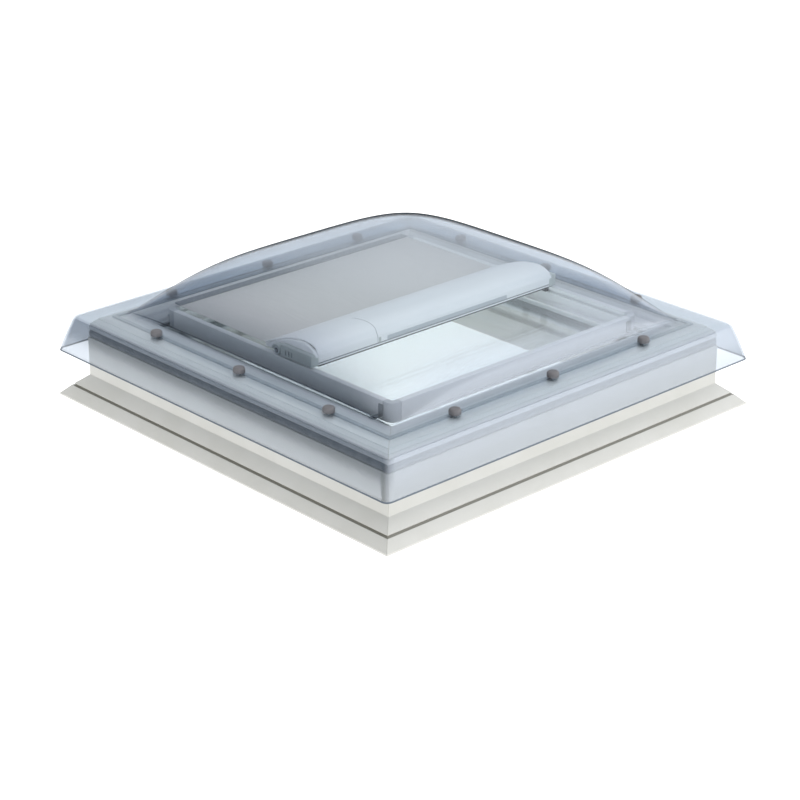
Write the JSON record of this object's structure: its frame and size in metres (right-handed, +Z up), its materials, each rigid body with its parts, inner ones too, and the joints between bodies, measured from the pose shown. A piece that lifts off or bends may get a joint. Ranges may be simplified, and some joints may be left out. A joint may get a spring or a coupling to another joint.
{
  "type": "roof skylight",
  "caption": "Square flat-roof skylight: insulated welded kerb, hinged sash with double glazing, clear cover dome and a sliding awning blind under the dome.",
  "frame": {"origin": "middle of the kerb's underside, on the roof deck", "axes": "+Z up; the sash hinges along the -X side, and the blind's bar slides along X"},
  "size_m": [1.04, 1.04, 0.328],
  "materials": {
    "kerb_pvc": "satin white plastic profile",
    "sash_pvc": "white plastic profile",
    "foam": "expanded foam",
    "rubber_grey": "soft grey rubber",
    "rubber_black": "black rubber",
    "glazing": "clear float glass",
    "dome_clear": "clear moulded acrylic",
    "rail_aluminium": "powder-coated grey",
    "bar_plastic": "satin light grey",
    "cap_plastic": "dark grey moulded plastic",
    "dark_plastic": "dark moulded plastic",
    "zinc_steel": "zinc-plated steel",
    "alu_mill": "mill aluminium",
    "blind_cloth": "grey screen cloth"
  },
  "bodies": {
    "kerb": {"kerb_frame": "kerb_pvc", "kerb_insulation": "foam", "weather_gasket": "rubber_grey", "kerb_hinge_leaves": "zinc_steel", "hinge_pins": "zinc_steel", "kerb_leaf_screws": "zinc_steel", "opener_tube": "alu_mill", "opener_motor": "dark_plastic", "opener_clamps": "cap_plastic"},
    "opener_rod": {"opener_rod": "zinc_steel"},
    "sash": {"sash_frame": "sash_pvc", "sash_hinge_leaves": "zinc_steel", "sash_leaf_screws": "zinc_steel", "opener_bracket": "zinc_steel", "bracket_pin": "zinc_steel", "outer_pane": "glazing", "inner_pane": "glazing", "glass_spacer": "alu_mill", "glazing_tape": "rubber_black", "glazing_gasket": "rubber_grey", "dome": "dome_clear", "dome_seal": "rubber_grey", "dome_screws": "zinc_steel", "dome_washers": "rubber_black", "screw_caps": "cap_plastic", "side_rail_left": "rail_aluminium", "side_rail_right": "rail_aluminium", "end_rail_front": "rail_aluminium", "end_rail_back": "rail_aluminium", "corner_pieces": "rail_aluminium", "corner_clips": "zinc_steel", "cloth": "blind_cloth", "cloth_clamp": "rail_aluminium"},
    "bar": {"bar_chassis": "alu_mill", "bar_hood": "bar_plastic", "bar_end_cap_left": "bar_plastic", "bar_end_cap_right": "bar_plastic", "bar_front_cover": "bar_plastic", "battery_pack": "dark_plastic", "lip_gasket": "rubber_grey", "guide_shoes": "dark_plastic", "roller_motor": "alu_mill", "axle_bushes": "dark_plastic"},
    "roller": {"roller_tube": "alu_mill", "cloth_roll": "blind_cloth", "roller_crown": "dark_plastic", "roller_plug": "dark_plastic"},
    "drive": {"drive_axle": "zinc_steel", "drive_wheels": "dark_plastic"}
  },
  "joints": [
    {"name": "sash_hinge", "type": "hinge", "parent": "kerb", "child": "sash", "pos_m": [-0.484, 0, 0.15], "axis": [0, -1, 0], "range_deg": [0, 6]},
    {"name": "opener_slide", "type": "slide", "parent": "kerb", "child": "opener_rod", "axis": [-0.0098, 0, 1], "range_m": [0, 0.0912]},
    {"name": "blind_slide", "type": "slide", "parent": "sash", "child": "bar", "axis": [1, 0, 0], "range_m": [-0.25, 0.2], "deforming": ["cloth"]},
    {"name": "roller_spin", "type": "hinge", "parent": "bar", "child": "roller", "pos_m": [0.07, 0, 0.2221], "axis": [0, 1, 0], "range_deg": [-896, 717]},
    {"name": "drive_spin", "type": "hinge", "parent": "bar", "child": "drive", "pos_m": [0.007, 0, 0.2111], "axis": [0, 1, 0], "range_deg": [-1647, 1318]}
  ],
  "couplings": [
    {"joint": "opener_slide", "follows": "sash_hinge", "m_per_rad": 0.8694},
    {"joint": "roller_spin", "follows": "blind_slide", "rad_per_m": 62.5},
    {"joint": "drive_spin", "follows": "blind_slide", "rad_per_m": 114.94}
  ]
}
